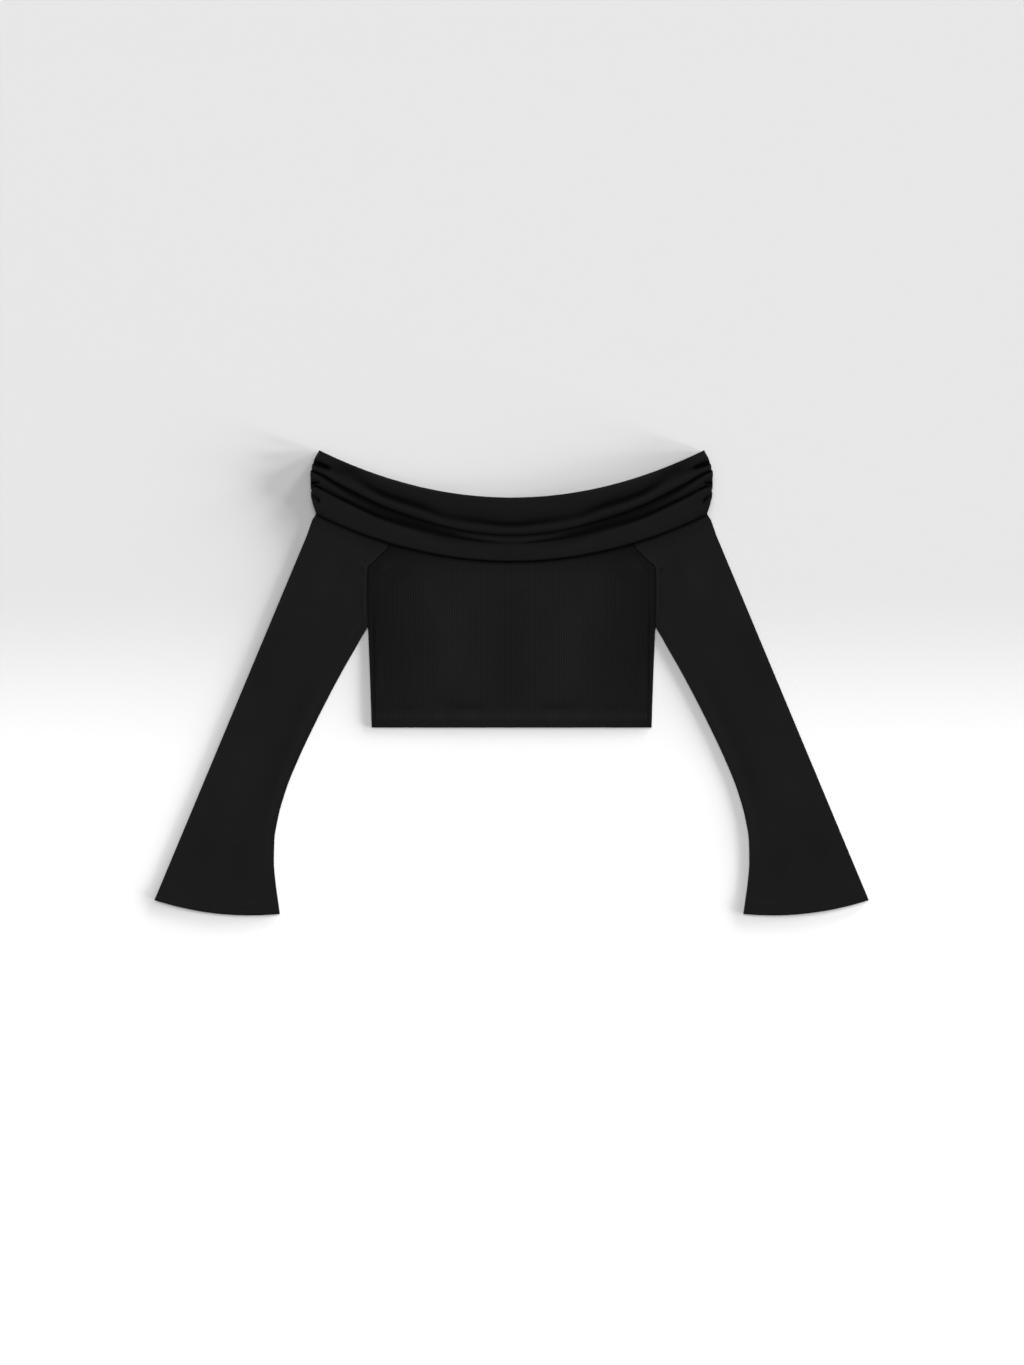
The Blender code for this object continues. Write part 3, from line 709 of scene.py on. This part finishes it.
def make_sleeve(name, side):
    """A sleeve as rings of points: walls spaced by a cosine, folds as half circles.

    side is 1 for the wearer's left sleeve and -1 for its mirror image.
    """
    places = between(range(len(SLEEVE)), SLEEVE[:-1, 7].astype(int))
    stations = np.arange(len(SLEEVE))
    ends = {}
    for index, column in enumerate(SLEEVE_COLUMNS[:7]):
        scale = 1.0 if column in ("bow", "full") else MM
        ends[column] = curve_through(stations, SLEEVE[:, index], places)[:, None] * scale
    width = np.hypot(ends["outer_x"] - ends["inner_x"], ends["outer_y"] - ends["inner_y"])
    fold = FOLD_RADIUS / width
    is_open = (places > UNDERARM)[:, None]
    inner = np.where(is_open, 0.0, fold)
    wall = (1 - np.cos(math.pi * np.arange(WALL_CELLS) / WALL_CELLS)) / 2
    turn = math.pi * np.arange(FOLD_CELLS) / FOLD_CELLS
    front_share = inner + (1 - fold - inner) * wall
    outer_share = 1 - fold + fold * np.sin(turn)
    back_share = (1 - fold) + (inner - 1 + fold) * wall
    inner_share = inner * (1 - np.sin(turn))
    share = np.concatenate([front_share, outer_share, back_share, inner_share], axis=1)
    rise = np.concatenate([np.full(WALL_CELLS, 2.0), 1 + np.cos(turn),
                           np.zeros(WALL_CELLS), 1 - np.cos(turn)])[None, :]
    x, y = sleeve_row_point(ends, share)
    across = (share - inner) / (1 - fold - inner)
    full = SLEEVE_FULLNESS * ends["full"] * np.clip(1 - np.abs(2 * across - 1) ** 3, 0, 1)
    relief = sum(soft_wave(x, y, *rule) for rule in SLEEVE_FOLDS)
    to_cuff = np.concatenate([[0.0], np.cumsum(np.hypot(np.diff(ends["outer_x"][:, 0]),
                                                        np.diff(ends["outer_y"][:, 0])))])[:, None]
    hem = 0.6 * MM * smooth((CUFF_HEM - to_cuff) / (2.0 * MM))
    stitch = sum(0.28 * MM * np.exp(-(((to_cuff - CUFF_STITCH + gap) / (0.8 * MM)) ** 2))
                 for gap in (0.0, 3.5 * MM))
    under_collar = smooth((y - collar_y(x)) / (5.0 * MM))
    on_front = (rise / 2) ** 2 * (1 - under_collar)
    inside = np.clip(np.minimum(share - inner, 1 - share) * width / (5.0 * MM), 0, 1)
    inside = np.where(is_open, np.clip((1 - share) * width / (5.0 * MM), 0, 1), inside)
    z = climb(x, y) + rise * FOLD_RADIUS + on_front * (full + hem - stitch + relief * inside)
    points = np.stack([side * x, y, z], axis=-1)
    # painted shade and highlight: lighter on the sleeve's ridges, darker in its grooves and stitch lines
    shade = np.clip(1.0 + SLEEVE_PAINTED_SHADE * (relief * inside - stitch) * on_front, 0.3, 1.3)
    # painted shade: a dark line along the open armhole edge, times the painted shadow under the collar
    shade = shade * (1 - 0.45 * np.exp(-((share * width / (1.2 * MM)) ** 2)) * is_open) * painted_collar_shadow(x, y)
    if side < 0:
        points = points[:, ::-1]
        shade = shade[:, ::-1]
    steps = np.linalg.norm(np.diff(np.concatenate([points, points[:, :1]], axis=1), axis=1), axis=2)
    around = np.concatenate([np.zeros((len(places), 1)), np.cumsum(steps, axis=1)], axis=1)
    around = around - around[:, -1:] / 2
    uv = np.stack([around, np.broadcast_to(-to_cuff, around.shape)], axis=-1)
    cells = np.arange(2 * (WALL_CELLS + FOLD_CELLS))
    first = 2 * WALL_CELLS + FOLD_CELLS
    in_fold = cells >= first
    if side < 0:
        in_fold = (cells < FOLD_CELLS - 1) | (cells == len(cells) - 1)
    cut = (places[:-1] >= UNDERARM - 1e-6)[:, None] & in_fold[None, :]
    return cloth_piece(name, points, uv, CLOTH, -1, sleeve_jersey, closed=True, cut=cut, shade=shade)


sleeve_left = make_sleeve("sleeve_left_cloth", 1)
sleeve_right = make_sleeve("sleeve_right_cloth", -1)
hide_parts("sleeve_left")
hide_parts("sleeve_right")

# %% [markdown]
# ## The collar
# A band of double cloth that folds over the neck seam and hangs down in level folds. Across it, from
# the free lower edge to the neckline, run a full rounded lobe, a sharp crease, a sunken strip, a
# second crease, a rolled ridge, a soft trough and a broad upper roll. They lean together towards the
# shoulders, where the band is gathered into its seam. Each table row is one such line: how far up the
# band it lies and how high it stands, at seven distances from the centre line out to the shoulder.
#
# The folds are deep for their width, and a Solidify modifier would round off their creases. So this
# piece is given by both of its sides: the face that shows, and an inner side two layers below it.

# %% The collar's folds
FOLD_STATIONS = np.array([0.0, 40.0, 80.0, 120.0, 165.0, 212.0, 250.0]) * MM
COLLAR_FOLDS = (
    # line, share of the band at each station, height in mm at each station, rows to the next line
    ("free edge", (0, 0, 0, 0, 0, 0, 0), (2.4, 2.4, 2.6, 2.6, 2.6, 2.2, 1.4), 7),
    ("edge roll", (.035, .035, .035, .035, .035, .040, .050), (4.6, 4.7, 5.2, 5.6, 5.6, 5.0, 3.6), 4),
    ("lobe", (.100, .100, .100, .105, .110, .120, .130), (4.8, 4.9, 5.4, 6.0, 6.2, 6.0, 5.4), 4),
    ("lobe top", (.170, .170, .180, .190, .200, .220, .240), (4.9, 4.7, 4.5, 5.4, 6.2, 6.2, 5.0), 4),
    ("lobe back", (.220, .225, .235, .255, .275, .320, .350), (4.2, 4.0, 3.5, 4.4, 5.7, 6.0, 5.6), 5),
    ("crease 2 lip", (.250, .270, .285, .305, .320, .370, .400), (3.9, 3.3, 2.6, 3.0, 3.6, 4.0, 4.6), 5),
    ("crease 2", (.272, .298, .320, .345, .355, .402, .428), (3.4, 1.6, 0.8, 0.8, 0.3, 0.0, 1.6), 5),
    ("recess low", (.295, .320, .345, .378, .385, .430, .470), (4.0, 3.2, 1.1, 0.8, 1.1, 1.9, 3.6), 4),
    ("recess", (.320, .350, .370, .410, .435, .487, .550), (4.6, 4.2, 1.6, 1.2, 1.7, 3.6, 6.0), 4),
    ("recess high", (.365, .385, .405, .450, .492, .567, .619), (3.6, 2.9, 2.0, 1.1, 1.1, 0.5, 2.8), 5),
    ("crease 1", (.400, .412, .440, .480, .528, .604, .637), (1.5, 1.4, 1.2, 0.3, 0.0, 0.0, 0.3), 5),
    ("crease 1 lip", (.414, .427, .457, .498, .539, .611, .645), (2.4, 2.4, 2.6, 2.0, 2.2, 2.8, 3.0), 5),
    ("ridge side", (.440, .455, .475, .540, .570, .637, .667), (4.0, 4.0, 4.2, 4.2, 5.0, 5.2, 5.6), 4),
    ("ridge top", (.480, .500, .505, .590, .612, .672, .695), (5.0, 4.8, 4.7, 5.0, 6.0, 5.6, 6.4), 4),
    ("ridge back", (.525, .548, .555, .635, .660, .730, .745), (3.4, 3.4, 3.8, 3.4, 3.8, 4.2, 4.0), 4),
    ("trough", (.572, .598, .610, .690, .724, .800, .790), (0.9, 1.3, 2.0, 0.8, 0.5, 2.9, 2.2), 4),
    ("rise", (.630, .655, .670, .735, .785, .850, .840), (2.9, 2.6, 2.8, 1.9, 2.7, 2.3, 5.0), 4),
    ("upper roll", (.720, .740, .760, .810, .850, .890, .890), (3.7, 3.7, 3.7, 3.6, 3.9, 2.3, 6.0), 4),
    ("neck roll", (.860, .870, .870, .880, .900, .930, .930), (4.2, 4.3, 4.1, 4.4, 4.9, 2.7, 5.2), 4),
    ("neck side", (.955, .955, .955, .960, .960, .960, .965), (4.2, 4.2, 4.0, 4.6, 5.0, 3.0, 3.4), 7),
    ("neck edge", (1, 1, 1, 1, 1, 1, 1), (2.4, 2.4, 2.4, 2.4, 2.4, 2.2, 1.4), 0),
)
SHOULDER_EDGE = np.array([
    # share of the band, half width in mm
    (0.000, 253.4), (0.080, 256.1), (0.141, 258.3), (0.175, 259.0), (0.250, 260.7), (0.300, 260.8),
    (0.332, 260.0), (0.357, 261.0), (0.418, 261.3), (0.510, 261.2), (0.556, 261.7), (0.616, 261.3),
    (0.660, 259.6), (0.715, 259.4), (0.763, 257.7), (0.826, 256.4), (0.934, 252.5), (1.000, 250.1),
])
COLLAR_INSET = -0.5 * MM
FREE_TURN = 1.8 * MM
NECK_TURN = 4.5 * MM
NECK_TURN_DROP = 2.0 * MM
SHOULDER_TURN = 4.0 * MM
SHOULDER_TURN_DROP = 3.1 * MM
COLLAR_COLUMNS = 300
# painted shade at the bottom of the deepest creases
DEEPEST_PAINTED_SHADE = 0.10


def band_y(x, share, inset):
    """A line share of the way from the collar's lower edge to the neckline."""
    return (collar_y(x) + inset) * (1 - share) + (neck_y(x) - inset) * share


def across_band(rows, x):
    """A monotone cubic in x through each row's values, level where it crosses the centre line.

    A mirrored value on the far side of the centre makes it level there.
    """
    stations = np.concatenate([[-FOLD_STATIONS[1]], FOLD_STATIONS])
    return np.stack([curve_through(stations, np.concatenate([[row[1]], row]), np.abs(place))
                     for row, place in zip(rows, x)])


# %% [markdown]
# The shoulder end is gathered: short puckers run into the seam, each a dark slot with a light roll
# beside it. They are open at the seam and fade within two centimetres.

# %% Gathers and small creases of the collar
OPEN = (0.0, 0.45)
COLLAR_CREASES = (
    # route in mm on the right half, width, height, fade at its start and its end
    (((262, 288.8), (256.8, 287.2), (250.8, 283.4), (244.1, 280.8), (233, 276.0)), 2.2, -5.5, (0.0, 0.35)),
    (((264, 283.4), (258.7, 283.1), (250.1, 280.4), (238, 278.2)), 1.6, -3.6, OPEN),
    (((264, 275.2), (249.5, 271.0), (238, 265), (228, 258)), 1.1, -2.4, (0.0, 0.3)),
    (((264, 263.5), (257, 263), (250, 262)), 1.4, -1.6, OPEN),
    (((264, 257.0), (256.8, 258.4), (251.4, 258.7), (247.0, 261.2)), 1.7, -4.8, (0.0, 0.35)),
    (((264, 254), (257.5, 255.6), (254.4, 257.1), (250, 255.6)), 0.9, 1.4, OPEN),
    (((264, 251.2), (258.8, 252.6), (254.4, 254.2), (250.1, 252.5), (242, 248.6)), 0.9, -3.0, (0.0, 0.3)),
    (((264, 245.2), (256.8, 240.9), (252.7, 238.3), (250.1, 235.3), (250.4, 229.0)), 1.5, -4.8, (0.0, 0.3)),
    (((262, 238), (257.4, 235), (255, 229)), 1.8, 1.2, OPEN),
    (((258, 226), (254, 220)), 1.5, -1.2, OPEN),
)


def make_front_collar():
    """The front collar: the table's lines joined by cubics both ways, turned down at its edges."""
    shares = np.array([line[1] for line in COLLAR_FOLDS], float)
    heights = np.array([line[2] for line in COLLAR_FOLDS], float) * MM
    lines = np.arange(len(COLLAR_FOLDS))
    places = between(lines, [line[3] for line in COLLAR_FOLDS[:-1]])
    share_rows = np.stack([curve_through(lines, column, places) for column in shares.T], axis=1)
    height_rows = np.stack([curve_through(lines, column, places) for column in heights.T], axis=1)
    steps = np.linspace(-1, 1, COLLAR_COLUMNS + 1)
    steps = np.sign(steps) * (1 - (1 - np.abs(steps)) ** 1.35)
    half_width = curve_through(SHOULDER_EDGE[:, 0], SHOULDER_EDGE[:, 1] * MM, share_rows[:, 6])
    x = half_width[:, None] * steps[None, :]
    share = across_band(share_rows, x)
    y = band_y(x, share, COLLAR_INSET)
    height = across_band(height_rows, x)
    for rule in COLLAR_CREASES:
        height = height + soft_wave(np.abs(x), y, *rule)
    from_end = half_width[:, None] - np.abs(x)
    to_neck = band_y(x, 1.0, COLLAR_INSET) - y
    to_free = y - band_y(x, 0.0, COLLAR_INSET)
    crown = np.maximum(COLLAR_CLOTH + height, 0.4 * MM)
    crown = crown * (1 - turned(to_free, FREE_TURN)) * (1 - turned(to_neck, NECK_TURN))
    crown = crown * (1 - turned(from_end, SHOULDER_TURN))
    sewn = smooth((share - 0.06) / 0.14)
    drop = (NECK_TURN_DROP * turned(to_neck, NECK_TURN)
            + SHOULDER_TURN_DROP * sewn * turned(from_end, SHOULDER_TURN))
    low = FRONT_COLLAR_BASE - np.minimum(drop, SHOULDER_TURN_DROP)
    top = np.stack([x, y, low + crown + 0.5 * MM], axis=-1)
    bottom = np.stack([x, y, low + np.maximum(crown - COLLAR_CLOTH, 0.0)], axis=-1)
    uv = np.stack([x, y - NECK_RISE * (x / RISE_AT_X) ** 2], axis=-1)
    # painted shade: the colour darkens with how low the face lies, near black in the deepest creases
    shade = DEEPEST_PAINTED_SHADE + (1 - DEEPEST_PAINTED_SHADE) * smooth((crown - COLLAR_CLOTH) / (5.0 * MM))
    print("collar's top, mm:", round(top[..., 2].max() / MM, 2))
    return two_sided("collar_front_cloth", top, bottom, uv, shade, collar_jersey)


collar_front = make_front_collar()
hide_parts("collar_front")

# %% [markdown]
# ### Back half of the collar
# It is pressed flat under everything else, and only its rounded edge can be seen, from behind.


# %% The back collar
def make_back_collar():
    """The back collar: the front's outline drawn in by a millimetre, flat on the table."""
    share = np.linspace(0.0, 1.0, 17)
    half_width = curve_through(SHOULDER_EDGE[:, 0], SHOULDER_EDGE[:, 1] * MM, share) - 1.0 * MM
    steps = np.linspace(-1, 1, 121)
    x = half_width[:, None] * steps[None, :]
    y = band_y(x, share[:, None], 1.0 * MM)
    points = np.stack([x, y, np.zeros_like(x)], axis=-1)
    uv = np.stack([x, y - NECK_RISE * (x / RISE_AT_X) ** 2], axis=-1)
    return cloth_piece("collar_back_cloth", points, uv, COLLAR_CLOTH, 1, collar_jersey)


collar_back = make_back_collar()
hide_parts("collar_back")

# %% [markdown]
# ## What each sheet was cut to
# The two panels are cut 37 by 32 cm with shaped tops, a sleeve is one piece that goes all round the
# arm, and the collar's halves are folded double.

# %% [markdown]
# ## Table and light
# A pale table, slightly brighter towards the hem. The main light is a wide soft sun that stands a
# little to the neckline's side of overhead, and with the pale sky it gives the black its weak sheen.
# Four low suns from the right throw the soft shadow that lies to the left of every piece. They light
# the table alone, because on the cloth they would rake across every rib.

# %% The table
table_mesh = bpy.data.meshes.new("table")
REACH = 4.0
table_mesh.from_pydata([(-REACH, -REACH, 0), (REACH, -REACH, 0), (REACH, REACH, 0), (-REACH, REACH, 0)],
                       [], [(0, 1, 2, 3)])
table = bpy.data.objects.new("table", table_mesh)
bpy.context.scene.collection.objects.link(table)
table_paint = bpy.data.materials.new("pale_table")
table_paint.use_nodes = True
paint = table_paint.node_tree.nodes["Principled BSDF"]
start = Value(table_paint.node_tree, None)
ground = start.node("ShaderNodeSeparateXYZ", (),
                    {"Vector": start.node("ShaderNodeTexCoord", output=3)}, output=1)
fade = start.node("ShaderNodeMapRange", {"interpolation_type": "SMOOTHSTEP"},
                  {"Value": ground, "From Min": 0.135, "From Max": -0.150, "To Min": 0.0, "To Max": 1.0})
tint = start.node("ShaderNodeMix", {"data_type": "RGBA"},
                  {0: fade, 6: (0.64, 0.64, 0.64, 1.0), 7: (0.84, 0.84, 0.84, 1.0)}, output=2)
table_paint.node_tree.links.new(tint.socket, paint.inputs["Base Color"])
paint.inputs["Roughness"].default_value = 0.9
paint.inputs["Specular IOR Level"].default_value = 0.1
table_mesh.materials.append(table_paint)

# %% The lights
def soft_sun(name, azimuth, elevation, strength, spread):
    """A distant light from azimuth, counted from +X towards +Y, and elevation, spread wide."""
    data = bpy.data.lights.new(name, "SUN")
    data.energy = strength
    data.angle = math.radians(spread)
    light = bpy.data.objects.new(name, data)
    flat = math.cos(math.radians(elevation))
    towards = Vector((math.cos(math.radians(azimuth)) * flat, math.sin(math.radians(azimuth)) * flat,
                      math.sin(math.radians(elevation))))
    light.rotation_euler = towards.to_track_quat("Z", "Y").to_euler()
    bpy.context.scene.collection.objects.link(light)
    return light


table_only = bpy.data.collections.new("lit_by_low_suns")
table_only.objects.link(table)
soft_sun("key", 96, 62, 1.35, 50)
for azimuth in (-20, 0, 22, 52):
    low_sun = soft_sun("low_" + str(azimuth), azimuth, 6, 4.43, 12)
    low_sun.light_linking.receiver_collection = table_only

world = bpy.data.worlds.new("studio")
bpy.context.scene.world = world
world.use_nodes = True
world.node_tree.nodes["Background"].inputs["Color"].default_value = (1.0, 1.0, 1.0, 1.0)
world.node_tree.nodes["Background"].inputs["Strength"].default_value = 0.28
bpy.context.scene.view_settings.view_transform = "Standard"
